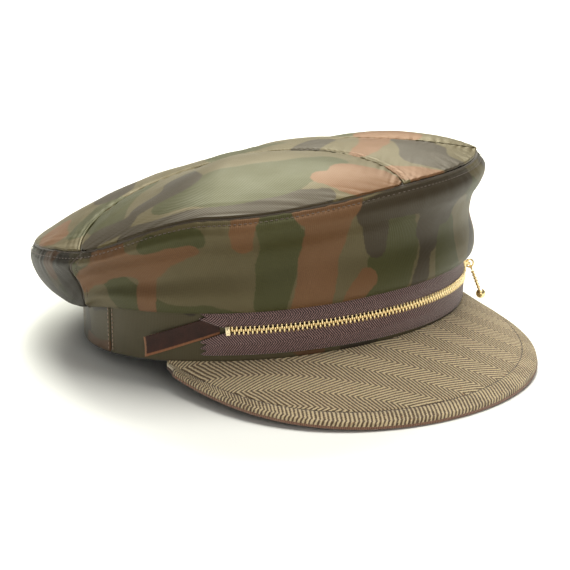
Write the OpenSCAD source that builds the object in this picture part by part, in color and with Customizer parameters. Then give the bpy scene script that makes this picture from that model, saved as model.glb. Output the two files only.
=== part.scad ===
// Soft peaked cap with a zip round the front of its band. Front is -Y, wearer's right is -X, Z is up.

/* [Band] */
// Outside radius of the fabric band, mm
band_r = 96; // [88:0.5:104]
// Height of the fabric band, mm
band_h = 33; // [28:0.5:38]
// Slope of the band from back to front as the cap rests, degrees
band_slope = 6.9; // [4:0.1:10]
// Thickness of the band fabric, mm
band_t = 1.6; // [1:0.1:2.5]
// Thickness of the stiffener inside the band, mm
stiffener_t = 1.2; // [0.8:0.1:2]
// Thickness of the sweatband, mm
sweat_t = 1.2; // [0.8:0.1:2]
// How far the sweatband's top stays below the band's top, mm
sweat_drop = 3; // [2:0.5:8]
// Angle from the front to the band's side seams, degrees
side_seam = 94.5; // [80:1:110]

/* [Crown] */
// How far the crown's top seam stands out from the band at the sides, mm
side_over = 14; // [8:0.5:24]
// How much longer the crown is than the band, at each end, mm
end_over = 13.5; // [8:0.5:24]
// How far the crown's middle sits behind the band's middle, mm
crown_back = 12.5; // [0:0.5:20]
// Height of the middle of the top above the table, mm
crown_top = 93; // [80:0.5:110]
// How much of that height is dome, mm
crown_dome = 25; // [10:0.5:35]
// Height of the top seam at the front, mm
seam_front = 101; // [85:0.5:110]
// Height of the top seam at the sides, mm
seam_side = 67; // [55:0.5:80]
// Height of the top seam at the back, mm
seam_back = 30; // [24:0.5:45]
// Thickness of the crown fabric, mm
crown_t = 1.4; // [1:0.1:2.5]
// Turn of the crown's panels round the band, degrees
crown_turn = 27.5; // [0:0.5:30]
// Half angle of the centre panel at the front, degrees
panel_front = 24.5; // [10:0.5:35]
// Angle from the crown's front to its side seams, degrees
panel_side = 116; // [100:1:130]
// Lean of the wall's side seams towards the back, degrees
seam_lean = 21; // [0:0.5:24]
// Extra puff of the side top panels, mm
puff = 5; // [0:0.5:9]

/* [Visor] */
// Angle from the front to each corner of the visor, degrees
visor_corner = 71; // [60:1:78]
// Reach of the visor from its corners to its front edge, mm
visor_reach = 124; // [100:1:130]
// Thickness of the tweed cover, mm
cover_t = 1.3; // [0.8:0.1:2]
// Thickness of the visor board, mm
board_t = 1.5; // [1:0.1:2.5]
// Height of the visor's edge roll, mm
edge_h = 4.3; // [3.5:0.1:6]

/* [Zip] */
// Height of the zip's middle above the middle of the band, mm
zip_rise = 0.2; // [-1:0.1:1]
// Angle from the front to the bottom stop, degrees
zip_start = 50; // [40:0.5:60]
// Angle from the front to the top stops, degrees
zip_end = 66.5; // [62:0.5:72]
// Fall of the zip towards the wearer's left, degrees
zip_tilt = 1; // [0:0.1:1.4]
// Width of each zip tape, mm
tape_w = 11.6; // [9:0.1:13]
// Thickness of each zip tape, mm
tape_t = 0.8; // [0.5:0.1:1.2]
// Distance between teeth of one row, mm
tooth_pitch = 2.2; // [1.8:0.1:3]
// Width of the interlocked teeth, mm
chain_w = 4.6; // [3.8:0.1:5.6]
// Depth of a tooth, mm
tooth_d = 2; // [1.6:0.1:2.6]

/* [Slider and puller] */
// Angle from the front to the slider when closed, degrees
slider_at = 62; // [52:0.5:66]
// Length of the slider along the zip, mm
slider_l = 9; // [7:0.1:12]
// Gap between slider and teeth, mm
slider_gap = 0.35; // [0.3:0.05:0.6]
// Wire thickness of the puller ring, mm
wire = 1; // [0.8:0.1:1.4]
// Inside radius of the puller ring, mm
ring_r = 1.5; // [1.4:0.1:2.5]
// Diameter of the beads on the puller, mm
bead_d = 1.9; // [1.6:0.1:3]
// Number of beads on the puller
bead_count = 6; // [3:1:7]
// Diameter of the ball at the puller's end, mm
ball_d = 5; // [4:0.1:6]

/* [Ribbon] */
// Visible length of the ribbon tab, mm
ribbon_l = 40; // [20:0.5:44]
// Width of the ribbon tab, mm
ribbon_w = 10; // [7:0.5:14]

/* [Hidden] */
// Gap left between sewn layers
lay = 0.12;
band_b = band_r * cos(band_slope);
rest_z = band_r * sin(band_slope);
crown_w = band_r + side_over;
crown_l = band_r + end_over;
zip_h = band_h / 2 + zip_rise;
stiff_off = -band_t - lay;
sweat_off = stiff_off - stiffener_t - lay;
zip_high = -band_r * sin(40);
zip_z = rest_z + zip_h + zip_high * tan(zip_tilt);
chain_in = 0.6;
chain_mid = band_r + chain_in + tooth_d / 2;
chain_out = chain_in + tooth_d;
tape_in = 1.2;
jaw_gap = 0.12;
tape_edge = chain_w / 2 - 0.95;
// Least height of the lower tape above the bottom of the band, clear of the visor
tape_low = 1.1;
plate_in = chain_out + slider_gap;
plate_t = 1.3;
slider_w = chain_w + 3.4;
rail_t = 1;
bridge_r = 0.6;
bridge_l = 5.6;
plate_out = plate_in + plate_t;
bridge_off = plate_out + 2.3;
loop_r = ring_r + wire / 2;
ring_off = plate_out + loop_r + wire / 2 + 0.2;
ring_drop = 0.5;
bar_lean = 16;
eye_wire = 0.9;
eye_r = 1.3;
eye_at = loop_r + eye_r - wire / 2 - eye_wire / 2 - jaw_gap;
ball_r = ball_d / 2;
bead_r = bead_d / 2;
bead_pitch = bead_d * 0.9;
stem_at = eye_at + eye_r + 0.2;
// Beads that fit above the visor with the ball under them
beads = max(1, min(bead_count, floor((zip_h - 6.3) / bead_pitch)));
ball_at = stem_at + beads * bead_pitch + ball_r + 0.15;
fit = 0.004;
roll_w = 1.8;
visor_x = (band_r + 0.4) * sin(visor_corner);
visor_y = -(band_b + 0.4) * cos(visor_corner);
// Shift that puts the middle of the whole cap over the origin
centre_y = (visor_reach - visor_y - crown_back - crown_l - 1.7) / 2;

// Angle 0 is the front, positive turns to the wearer's right
function wall(a, off, h) = [
    -(band_r + off) * sin(a),
    -(band_b + off) * cos(a),
    rest_z + band_b * tan(band_slope) * cos(a) + h
];

function mix(a, b, t) = a + (b - a) * t;
function ease(t) = t * t * (3 - 2 * t);
function clamp01(t) = min(1, max(0, t));
function fold(a) = abs(((a + 540) % 360) - 180);
function power(v, e) = sign(v) * pow(abs(v), e);

// Height of the top seam by angle from the front
function seam_z(a) = let (f = fold(a))
    f < 50 ? mix(seam_front, seam_front - 7, ease(f / 50) * 0.55 + 0.45 * (f / 50) * (f / 50))
    : f < 100 ? mix(seam_front - 7, seam_side - 7, (f - 50) / 50 * 0.35 + 0.65 * ease((f - 50) / 50))
    : mix(seam_side - 7, seam_back, pow((f - 100) / 80, 0.9));

function seam_xy(a) = [
    -power(sin(a), 0.93) * crown_w,
    crown_back - power(cos(a), 0.93) * crown_l
];

function seam(a) = [seam_xy(a).x, seam_xy(a).y, seam_z(a)];

// How much of the back shape a given angle has, 0 at the front and 1 at the back
function back_part(a) = ease(clamp01((fold(a) - 80) / 40));

// Outline of the crown wall, as offset from the band and height above the band's top
front_wall = [[0, 1.4], [3.4, 1], [5.6, -5.6], [7, -2.4], [7, 5], [4.8, 17], [7, 29], [11.6, 38], [13.2, 45]];
back_wall = [[0, 1.4], [3, 1], [3.2, -12.4], [7.2, -13.6], [13, -10], [20, -4.5], [26, 2], [29, 8], [29.6, 12.5]];

// Radial direction of the seam beyond the band at an angle
function seam_off(a) = let (s = seam_xy(a), w = wall(a, 0, 0), n = [-sin(a), -cos(a)])
    (s.x - w.x) * n.x + (s.y - w.y) * n.y;

function slide(a) = let (s = seam_xy(a), w = wall(a, 0, 0), t = [-cos(a), sin(a)])
    (s.x - w.x) * t.x + (s.y - w.y) * t.y;

function band_z(a) = wall(a, 0, 0).z;

// Wall outline point i at angle a, in offset and height
function wall_at(a, i) = let (
    k = back_part(a),
    rise = seam_z(a) - band_z(a) - band_h,
    so = seam_off(a),
    f = front_wall[i],
    g = back_wall[i],
    fs = [f.x + (i > 3 ? (so - 9) * (f.y + 3) / 50 : 0), i > 3 ? (f.y + 2.4) * (rise - 1) / 50.5 - 2.4 : f.y],
    gs = [g.x + (i > 3 ? (so - 28) * (g.y + 14) / 30 : 0), i > 2 ? (g.y + 13.6) * (rise + 11) / 27.5 - 13.6 : g.y]
) mix(fs, gs, k) + [0, band_h];

function outline(a) = [
    for (i = [0 : 8]) wall_at(a, i),
    [seam_off(a), seam_z(a) - band_z(a)]
];

// Direction from outside to inside at the top seam
seam_in = [-0.7, -0.71];

function unit(v) = v / norm(v);
function left_of(v) = [-v.y, v.x];

function inner_outline(p, t) = let (n = len(p)) [
    for (i = [0 : n - 1])
        i == n - 1 ? p[i] + seam_in * t
        : i == 0 ? p[i] + [-0.3, t]
        : p[i] + unit(left_of(unit(p[i + 1] - p[i])) + left_of(unit(p[i] - p[i - 1]))) * t
];

// Point of the wall from angle, offset and height, easing across to the seam's own outline
function shell(a, q) = let (
    top = seam_z(a) - band_z(a),
    k = ease(clamp01((q.y - band_h + 8) / max(1, top - band_h + 8))),
    w = wall(a, q.x, q.y),
    s = slide(a) * k
) [w.x - cos(a) * s, w.y + sin(a) * s, w.z];

// Closed ring of points at one angle
function ring_pts(a, p, q) = [
    for (v = p) shell(a, v),
    for (i = [len(q) - 1 : -1 : 0]) shell(a, q[i])
];

// Solid swept through rings of the same length, with both ends closed
module sweep(rings) {
    n = len(rings[0]);
    m = len(rings);
    points = [for (r = rings) each r];
    sides = [
        for (i = [0 : m - 2]) for (j = [0 : n - 1]) each [
            [i * n + j, i * n + (j + 1) % n, (i + 1) * n + (j + 1) % n],
            [i * n + j, (i + 1) * n + (j + 1) % n, (i + 1) * n + j]
        ]
    ];
    half = n / 2;
    first = [for (j = [0 : half - 2]) each [[j, n - 1 - j, j + 1], [j + 1, n - 1 - j, n - 2 - j]]];
    last = [for (f = first) [for (v = [2 : -1 : 0]) f[v] + (m - 1) * n]];
    translate([0, centre_y, 0]) polyhedron(points, concat(sides, first, last), convexity = 10);
}

// Solid between an upper and a lower grid of points
module slab(upper, lower) {
    n = len(upper[0]);
    m = len(upper);
    rings = [for (i = [0 : m - 1]) concat(upper[i], [for (j = [n - 1 : -1 : 0]) lower[i][j]])];
    sweep(rings);
}

// Belt round part of the band, between two offsets and two heights
module belt(a0, a1, steps, off_in, off_out, h0, h1) {
    rings = [
        for (i = [0 : steps]) let (a = mix(a1, a0, i / steps)) [
            wall(a, off_out, h0),
            wall(a, off_out, h1),
            wall(a, off_in, h1),
            wall(a, off_in, h0)
        ]
    ];
    sweep(rings);
}

// Angle of the wall panels' thread line, which leans towards the back lower down
function leaned(a, j) = a + seam_lean * sin(a + crown_turn) * (1 - j / 9);

module crown_wall(a0, a1, steps) {
    rings = [
        for (i = [0 : steps]) let (a = mix(a1, a0, i / steps)) [
            for (j = [0 : 9]) let (b = leaned(a, j)) shell(b, outline(b)[j]),
            for (j = [9 : -1 : 0]) let (b = leaned(a, j)) shell(b, inner_outline(outline(b), crown_t)[j])
        ]
    ];
    sweep(rings);
}

// Angle of the top seam's own outline that lies in line with a plan position
function true_angle(x, y, a, k) = k == 0 ? a : let (
    s = seam_xy(a),
    d = atan2(-x, crown_back - y) - atan2(-s.x, crown_back - s.y)
) true_angle(x, y, a + ((d + 540) % 360) - 180, k - 1);

// Share of the way from the crown's middle to its top seam
function top_share(x, y) = let (
    s = seam_xy(true_angle(x, y, atan2(-x, crown_back - y), 3))
) min(1, norm([x, y - crown_back]) / norm([s.x, s.y - crown_back]));

// Height of the top of the crown at a plan position
function top_z(x, y) = let (
    q = top_share(x, y),
    z = seam_z(true_angle(x, y, atan2(-x, crown_back - y), 3))
) mix(crown_top - crown_dome, z, q) + crown_dome * (1 - pow(q, 2.2));

function under(p, t) = let (
    k = pow(top_share(p.x, p.y), 2),
    a = atan2(-p.x, crown_back - p.y)
) p + t * [sin(a) * 0.7 * k, cos(a) * 0.7 * k, -1 + 0.29 * k];

function put(p, extra) = [p.x, p.y, top_z(p.x, p.y) + extra];

function curve(f, b, r, t) = let (u = 1 - t)
    pow(u, 5) * f + 5 * pow(u, 4) * t * b[0] + 10 * pow(u, 3) * t * t * b[1]
    + 10 * u * u * pow(t, 3) * b[2] + 5 * u * pow(t, 4) * b[3] + pow(t, 5) * r;

// Plan of the seam between the centre panel and the side panel on the wearer's right
function near_plan(t) = let (
    f = seam_xy(panel_front - crown_turn),
    r = seam_xy(panel_side - crown_turn)
) curve(f, [f + [13.4, 33], f + [-4, 40], r + [127.4, 44], r + [30, 49]], r, t);

// The same seam on the other side, mirrored across the crown's own middle line
function mirrored(p) = let (
    d = [sin(crown_turn), -cos(crown_turn)],
    q = p - [0, crown_back]
) [0, crown_back] + 2 * (q.x * d.x + q.y * d.y) * d - q;

function far_plan(t) = mirrored(near_plan(t))
    + mix(
        seam_xy(-panel_front - crown_turn) - mirrored(near_plan(0)),
        seam_xy(-panel_side - crown_turn) - mirrored(near_plan(1)),
        t
    );

function rim(a) = mix([0, crown_back], seam_xy(a), 1 - fit / 2);

// Rows of points of a side top panel, from its front corner to its back corner
function side_rows(inner, a0, a1, steps, cross) = [
    for (i = [0 : steps]) let (t = mix(0.012, 0.988, i / steps), o = rim(mix(a0, a1, t))) [
        for (j = [0 : cross]) let (u = j / cross * (1 - 3 * fit))
            put(mix(o, inner[i], u), puff * 4 * u * (1 - u) * sin(180 * t))
    ]
];

module top_panel(upper) {
    slab(upper, [for (row = upper) [for (p = row) under(p, crown_t)]]);
}

// Height of the zip's middle above the band's bottom at one angle
function zip_mid(a) = zip_h + (zip_high + band_r * sin(a)) * tan(zip_tilt);

// Moves things into the zip's own level, turned to an angle along it, with X pointing outward
module on_zip(a) {
    translate([0, centre_y, zip_z]) rotate([-band_slope, 0, 0]) rotate([0, zip_tilt, 0])
        rotate([0, 0, -90 - a]) children();
}

// Point on the zip's own level
function track(a, off, h) = let (
    r = band_r + off,
    x = -r * sin(a) * cos(zip_tilt) + h * sin(zip_tilt),
    z = r * sin(a) * sin(zip_tilt) + h * cos(zip_tilt)
) [
    x,
    -r * cos(a) * cos(band_slope) + z * sin(band_slope),
    zip_z + r * cos(a) * sin(band_slope) + z * cos(band_slope)
];

function deg(len) = len / chain_mid * 180 / PI;

// Cross-section of a zip tape at one angle, up is 1 for the upper tape and -1 for the lower
function tape_ring(a, up, edge) = let (
    far = up > 0 ? tape_edge + tape_w : min(tape_edge + tape_w, zip_mid(a) - tape_low),
    m = max(edge + 1, 4.4),
    pts = [
        track(a, tape_in + tape_t, up * edge),
        track(a, tape_in + tape_t, up * (edge + 0.8)),
        wall(a, 1.0 + tape_t, zip_mid(a) + up * m),
        wall(a, 0.3 + tape_t, zip_mid(a) + up * far),
        wall(a, 0.3, zip_mid(a) + up * far),
        wall(a, 1.0, zip_mid(a) + up * m),
        track(a, tape_in, up * (edge + 0.8)),
        track(a, tape_in, up * edge)
    ]
) up > 0 ? pts : [for (i = [7 : -1 : 0]) pts[i]];

module tape(up) {
    a0 = zip_start + deg(15);
    a1 = zip_start + deg(2.5);
    ends = [for (i = [0 : 6]) mix(a0, a1, i / 6)];
    run = [for (i = [1 : 44]) mix(a1, -zip_end - deg(3), i / 44)];
    sweep([
        for (a = concat(ends, run))
            tape_ring(a, up, tape_edge + 2.6 * clamp01((a - a1) / (a0 - a1)))
    ]);
}

// One tooth, its jaws round the edge of the tape
module tooth(up) {
    w = tooth_pitch * 0.42;
    h = chain_w / 2;
    difference() {
        translate([band_r + chain_in, -w / 2, up > 0 ? -0.75 : -h]) cube([tooth_d, w, h + 0.75]);
        translate([band_r + tape_in - jaw_gap, -w, up > 0 ? tape_edge - jaw_gap : -h - 1])
            cube([tape_t + 2 * jaw_gap, 2 * w, h - tape_edge + jaw_gap + 1]);
    }
}

module teeth(up, shift) {
    first = zip_start - deg(2);
    last = -zip_end + deg(1.5);
    step = deg(tooth_pitch);
    count = floor((first - last) / step - 0.5);
    for (i = [0 : count]) on_zip(first - (i + shift) * step) tooth(up);
}

// Visor lines, with s from -1 at the wearer's left to 1 at the right
function visor_inner(s) = let (w = wall(visor_corner * s, 0.25, 0.8)) w;

function visor_rim(s) = let (c = pow(max(0.0001, cos(90 * s)), 0.657)) [
    -visor_x * sin(90 * s),
    visor_y - (visor_reach - roll_w) * c
];

function visor_rim_z(s) = let (zc = band_z(visor_corner) + 0.8)
    mix(zc, edge_h, pow(max(0.0001, cos(90 * s)), 0.39));

function visor_point(s, t, down) = let (i = visor_inner(s), o = visor_rim(s)) [
    mix(i.x, o.x, t),
    mix(i.y, o.y, t),
    mix(i.z, visor_rim_z(s), pow(t, 0.95)) + 1.6 * t * (1 - t) * cos(70 * s) - down
];

module visor_layer(from, to, cut) {
    steps = 44;
    cross = 7;
    upper = [
        for (i = [0 : steps]) let (s = mix(-0.99, 0.99, i / steps))
            [for (j = [0 : cross]) visor_point(s, mix(cut, 1 - cut, j / cross), from)]
    ];
    lower = [
        for (i = [0 : steps]) let (s = mix(-0.99, 0.99, i / steps))
            [for (j = [0 : cross]) visor_point(s, mix(cut, 1 - cut, j / cross), to)]
    ];
    slab(upper, lower);
}

module band_front() {
    color("#4a4436") belt(-side_seam + 0.1, side_seam - 0.1, 62, -band_t, 0, 0, band_h);
}

module band_back() {
    color("#4a4436") belt(side_seam + 0.1, 360 - side_seam - 0.1, 58, -band_t, 0, 0, band_h);
}

module band_stiffener() {
    color("#cfc8b6") belt(-179.6, 179.6, 90, stiff_off - stiffener_t, stiff_off, 2, band_h - 1.5);
}

module sweatband() {
    color("#2b2522") belt(-179.6, 179.6, 90, sweat_off - sweat_t, sweat_off, 0.8, band_h - sweat_drop);
}

module wall_panel_front() {
    color("#5c5a3e") crown_wall(-panel_side - crown_turn + 0.1, panel_side - crown_turn - 0.1, 62);
}

module wall_panel_back() {
    color("#56543a") crown_wall(panel_side - crown_turn + 0.1, 360 - panel_side - crown_turn - 0.1, 36);
}

module top_side_panel_right() {
    steps = 28;
    inner = [for (i = [0 : steps]) near_plan(mix(0.012, 0.988, i / steps))];
    rows = side_rows(inner, panel_front - crown_turn, panel_side - crown_turn, steps, 8);
    color("#6f7a4e") top_panel([for (i = [steps : -1 : 0]) rows[i]]);
}

module top_side_panel_left() {
    steps = 28;
    inner = [for (i = [0 : steps]) far_plan(mix(0.012, 0.988, i / steps))];
    color("#6a6048")
        top_panel(side_rows(inner, -panel_front - crown_turn, -panel_side - crown_turn, steps, 8));
}

module top_centre_panel() {
    steps = 28;
    cross = 18;
    a = panel_front - crown_turn;
    b = -panel_front - crown_turn;
    c = panel_side - crown_turn;
    d = 360 - panel_side - crown_turn;
    rows = [
        for (i = [steps : -1 : 0]) let (v = mix(fit, 1 - fit, i / steps)) [
            for (j = [0 : cross]) let (
                u = mix(fit, 1 - fit, j / cross),
                p = mix(near_plan(v), far_plan(v), u)
                    + (1 - v) * (rim(mix(a, b, u)) - mix(rim(a), rim(b), u))
                    + pow(clamp01((v - 0.4) / 0.6), 1.6) * (rim(mix(c, d, u)) - mix(rim(c), rim(d), u))
            ) put(p, puff * 6 * u * (1 - u) * v * (1 - v))
        ]
    ];
    color("#6b5d49") top_panel(rows);
}

// Lining outline, over the band's top edge and then up inside the wall
function lining_outline(a) = let (
    k = back_part(a),
    p = outline(a),
    q = inner_outline(p, crown_t + 0.9),
    e = p[9] + seam_in * 4.2,
    s = [3.2, band_h + 4]
) [
    [-2.6, band_h - 0.6],
    [-2.5, band_h + 3.9],
    s,
    for (i = [5 : 8]) mix(q[i], mix(s, e, (i - 4) / 5), k),
    e
];

module crown_lining_wall() {
    rings = [
        for (i = [0 : 72]) let (
            a = mix(179.6, -179.6, i / 72),
            p = lining_outline(a),
            n = len(p),
            q = [
                for (j = [0 : n - 1]) let (v = unit(p[min(n - 1, j + 1)] - p[max(0, j - 1)]))
                    p[j] + 0.6 * left_of(v)
            ]
        ) ring_pts(a, p, q)
    ];
    color("#7d7564") sweep(rings);
}

module crown_lining_top() {
    cross = 8;
    rows = [
        for (i = [0 : 40]) let (a = mix(-179.6, 179.6, i / 40), r = seam_xy(a)) [
            for (j = [0 : cross]) let (
                p = mix([0, crown_back], r, mix(0.02, 0.9, j / cross)),
                f = top_share(p.x, p.y)
            ) [p.x, p.y, top_z(p.x, p.y) - 4 - 2 * f]
        ]
    ];
    lower = [for (row = rows) [for (p = row) p - [0, 0, 0.7]]];
    color("#7d7564") slab(rows, lower);
}

module visor_top_cover() {
    color("#9d8f72") visor_layer(0, cover_t, 0.002);
}

module visor_board() {
    color("#d8d0bd") visor_layer(cover_t + lay, cover_t + lay + board_t, 0.02);
}

module visor_under_cover() {
    color("#3a2621") visor_layer(cover_t + board_t + 2 * lay, edge_h - 0.1, 0.002);
}

module visor_edge_roll() {
    steps = 56;
    shape = [[0.12, 0.4], [1.1, 0], [roll_w, 0.9], [roll_w, edge_h - 0.9], [1.1, edge_h], [0.12, edge_h - 0.2]];
    rings = [
        for (i = [0 : steps]) let (
            s = mix(-0.99, 0.99, i / steps),
            o = visor_rim(s),
            d = unit(visor_rim(s + 0.004) - visor_rim(s - 0.004)),
            n = [d.y, -d.x] * -1
        ) [
            for (q = shape) [o.x + n.x * q.x, o.y + n.y * q.x, visor_rim_z(s) - q.y]
        ]
    ];
    color("#3a2621") sweep(rings);
}

module zip_tape_upper() {
    color("#5a4650") tape(1);
}

module zip_tape_lower() {
    color("#5a4650") tape(-1);
}

module zip_teeth_upper() {
    color("#c9a860") teeth(1, 0);
}

module zip_teeth_lower() {
    color("#c9a860") teeth(-1, 0.5);
}

module zip_bottom_stop() {
    color("#d6bb78") on_zip(zip_start) difference() {
        translate([band_r + chain_in - 0.1, -1.1, -2.4]) cube([tooth_d + 0.8, 2.2, 4.8]);
        for (k = [0, 1]) mirror([0, 0, k]) translate([band_r + tape_in - jaw_gap, -2, tape_edge - jaw_gap])
            cube([tape_t + 2 * jaw_gap, 4, 4]);
    }
}

module zip_top_stops() {
    color("#d6bb78") on_zip(-zip_end) for (k = [0, 1]) mirror([0, 0, k]) difference() {
        translate([band_r + chain_in - 0.1, -0.9, 0.35]) cube([tooth_d + 0.8, 1.8, 2.2]);
        translate([band_r + tape_in - jaw_gap, -2, tape_edge - jaw_gap])
            cube([tape_t + 2 * jaw_gap, 4, 4]);
    }
}

// Slider body, a channel that follows the curve of the teeth
module slider_body() {
    half = deg(slider_l) / 2;
    color("#cfae66") on_zip(-slider_at) rotate([0, 0, -half]) rotate_extrude(angle = 2 * half, $fn = 120)
        translate([band_r, 0]) polygon([
            [plate_in, -slider_w / 2 + rail_t],
            [plate_in - 0.5, -slider_w / 2 + rail_t],
            [plate_in - 0.5, -slider_w / 2],
            [plate_out - 0.3, -slider_w / 2],
            [plate_out, -slider_w / 2 + 0.6],
            [plate_out, slider_w / 2 - 0.6],
            [plate_out - 0.3, slider_w / 2],
            [plate_in - 0.5, slider_w / 2],
            [plate_in - 0.5, slider_w / 2 - rail_t],
            [plate_in, slider_w / 2 - rail_t]
        ]);
}

module slider_bridge() {
    color("#cfae66") on_zip(-slider_at) {
        translate([band_r + bridge_off, 0, 0]) rotate([90, 0, 0])
            cylinder(r = bridge_r, h = bridge_l, center = true, $fn = 40);
        for (k = [-1, 1]) translate([band_r + plate_out + 0.02, k * (bridge_l / 2 - 0.5) - 0.5, -0.8])
            cube([bridge_off - plate_out, 1, 1.6]);
    }
}

module puller_ring() {
    color("#cfae66") on_zip(-slider_at) translate([band_r + ring_off, 0, -ring_drop]) rotate([90, 0, 0])
        rotate_extrude($fn = 64) translate([loop_r, 0]) circle(d = wire, $fn = 32);
}

// Places things along the puller's bar, with -Z running down it
module on_bar() {
    on_zip(-slider_at) translate([band_r + ring_off, 0, -ring_drop]) rotate([0, -bar_lean, 0]) children();
}

module puller_eye() {
    color("#cfae66") on_bar() translate([0, 0, -eye_at]) rotate([0, 90, 0])
        rotate_extrude($fn = 64) translate([eye_r, 0]) circle(d = eye_wire, $fn = 32);
}

module puller_beads() {
    color("#cfae66") on_bar() for (i = [0 : beads - 1])
        translate([0, 0, -stem_at - eye_wire / 2 - (i + 0.5) * bead_pitch]) sphere(r = bead_r, $fn = 40);
}

module puller_ball() {
    color("#cfae66") on_bar() translate([0, 0, -ball_at - eye_wire / 2]) sphere(r = ball_r, $fn = 64);
}

module ribbon_tab() {
    a0 = zip_start + deg(5);
    a1 = a0 + deg(ribbon_l);
    rings = [
        for (i = [0 : 16]) let (
            t = i / 16,
            a = mix(a1, a0, t),
            lift = 0.12 + 3.4 * pow(1 - t, 2.4),
            mid = zip_h - 8.7 + 12 * t
        ) [
            for (q = [[lift + 0.45, -1], [lift + 0.45, 0], [lift + 0.45, 1], [lift, 1], [lift, 0], [lift, -1]])
                wall(a, q.x, mid + q.y * ribbon_w / 2)
        ]
    ];
    color("#2a1712") sweep(rings);
}

band_front();
band_back();
band_stiffener();
sweatband();
wall_panel_front();
wall_panel_back();
top_side_panel_right();
top_side_panel_left();
top_centre_panel();
crown_lining_wall();
crown_lining_top();
visor_top_cover();
visor_board();
visor_under_cover();
visor_edge_roll();
zip_tape_upper();
zip_tape_lower();
zip_teeth_upper();
zip_teeth_lower();
zip_bottom_stop();
zip_top_stops();
slider_body();
slider_bridge();
puller_ring();
puller_eye();
puller_beads();
puller_ball();
ribbon_tab();
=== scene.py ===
import math

import bmesh
import bpy
from mathutils import Matrix, Vector, noise


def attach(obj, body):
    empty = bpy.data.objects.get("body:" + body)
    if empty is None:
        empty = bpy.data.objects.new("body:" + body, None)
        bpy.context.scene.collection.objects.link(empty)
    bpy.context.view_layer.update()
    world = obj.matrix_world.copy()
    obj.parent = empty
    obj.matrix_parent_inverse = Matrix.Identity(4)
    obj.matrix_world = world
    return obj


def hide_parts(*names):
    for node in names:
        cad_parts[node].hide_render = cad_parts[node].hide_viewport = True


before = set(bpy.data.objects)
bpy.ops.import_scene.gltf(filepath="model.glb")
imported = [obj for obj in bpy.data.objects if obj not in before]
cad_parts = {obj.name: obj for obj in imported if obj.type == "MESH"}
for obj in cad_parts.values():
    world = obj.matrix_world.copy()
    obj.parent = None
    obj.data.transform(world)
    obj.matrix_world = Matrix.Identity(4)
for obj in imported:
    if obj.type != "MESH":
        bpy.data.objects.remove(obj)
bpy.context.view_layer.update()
scene = bpy.context.scene

# ---------------------------------------------------------------- sizes, in millimetres and degrees
# They are the CAD's own, so that every cloth lies on the solid it stands for
MM = 0.001
BAND_R, BAND_H, SLOPE = 96.0, 33.0, 6.9
CROWN_W, CROWN_L, CROWN_BACK = BAND_R + 14, BAND_R + 13.5, 12.5
CROWN_TOP, CROWN_DOME = 93.0, 25.0
SEAM_FRONT, SEAM_SIDE, SEAM_BACK = 101.0, 67.0, 30.0
CROWN_T, TURN, PANEL_FRONT, PANEL_SIDE, SEAM_LEAN, PUFF = 1.4, 27.5, 24.5, 116.0, 21.0, 5.0
VISOR_CORNER, VISOR_REACH, ROLL_W, EDGE_H = 71.0, 124.0, 1.8, 4.3
ZIP_H, ZIP_START, ZIP_END, ZIP_TILT, TAPE_W, TAPE_T = 16.7, 50.0, 66.5, 1.0, 11.6, 0.8
SIDE_SEAM, RIBBON_L, RIBBON_W = 94.5, 40.0, 10.0
TOOTH_PITCH = 2.2
# Length of cloth to one degree round the wall, the band and the zip's tapes
WALL_DEGREE, BAND_DEGREE, TAPE_DEGREE = 1.8, 1.68, 1.7
# Seam stitching: distance from the wall's seam and from the top's, and length of one stitch with its gap
WALL_ROW, TOP_ROW, STITCH = 3.4, 3.0, 2.7
# Visor: share of its half turn that the tweed covers, share of the cover over the board, size of the part
# turned down, and distance of the stitched channel from the edge
VISOR_SPAN, TURN_DOWN, TURNED, CHANNEL = 0.99, 0.93, 50, 8.2


def sin(a):
    return math.sin(math.radians(a))


def cos(a):
    return math.cos(math.radians(a))


def mix(a, b, t):
    return a + (b - a) * t


def between(values, t):
    """Value at t, from 0 to 1, along a list of evenly spaced values."""
    n = t * (len(values) - 1)
    i = min(len(values) - 2, int(n))
    return mix(values[i], values[i + 1], n - i)


def clamp(t):
    return min(1.0, max(0.0, t))


def ease(t):
    return t * t * (3 - 2 * t)


def eased(t):
    return ease(clamp(t))


def power(v, e):
    return math.copysign(abs(v) ** e, v)


def fold(a):
    return abs(((a + 540) % 360) - 180)


BAND_B = BAND_R * cos(SLOPE)
REST_Z = BAND_R * sin(SLOPE)
ZIP_HIGH = -BAND_R * sin(40)
ZIP_FALL = math.tan(math.radians(ZIP_TILT))
ZIP_Z = REST_Z + ZIP_H + ZIP_HIGH * ZIP_FALL
TAPE_EDGE = 1.35
CHAIN_MID = BAND_R + 1.6
VISOR_X = (BAND_R + 0.4) * sin(VISOR_CORNER)
VISOR_Y = -(BAND_B + 0.4) * cos(VISOR_CORNER)
CROWN_MID = Vector((0, CROWN_BACK))
CENTRE_Y = (VISOR_REACH - VISOR_Y - CROWN_BACK - CROWN_L - 1.7) / 2


def wall(a, off, h):
    """Point beside the band: a is 0 at the front and turns to the wearer's right."""
    z = REST_Z + BAND_B * math.tan(math.radians(SLOPE)) * cos(a) + h
    return Vector((-(BAND_R + off) * sin(a), -(BAND_B + off) * cos(a), z))


def seam_z(a):
    f = fold(a)
    if f < 50:
        t = f / 50
        return mix(SEAM_FRONT, SEAM_FRONT - 7, ease(t) * 0.55 + 0.45 * t * t)
    if f < 100:
        t = (f - 50) / 50
        return mix(SEAM_FRONT - 7, SEAM_SIDE - 7, t * 0.35 + 0.65 * ease(t))
    return mix(SEAM_SIDE - 7, SEAM_BACK, ((f - 100) / 80) ** 0.9)


def seam_xy(a):
    return Vector((-power(sin(a), 0.93) * CROWN_W, CROWN_BACK - power(cos(a), 0.93) * CROWN_L))


def band_z(a):
    return wall(a, 0, 0).z


def back_part(a):
    return eased((fold(a) - 80) / 40)


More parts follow.
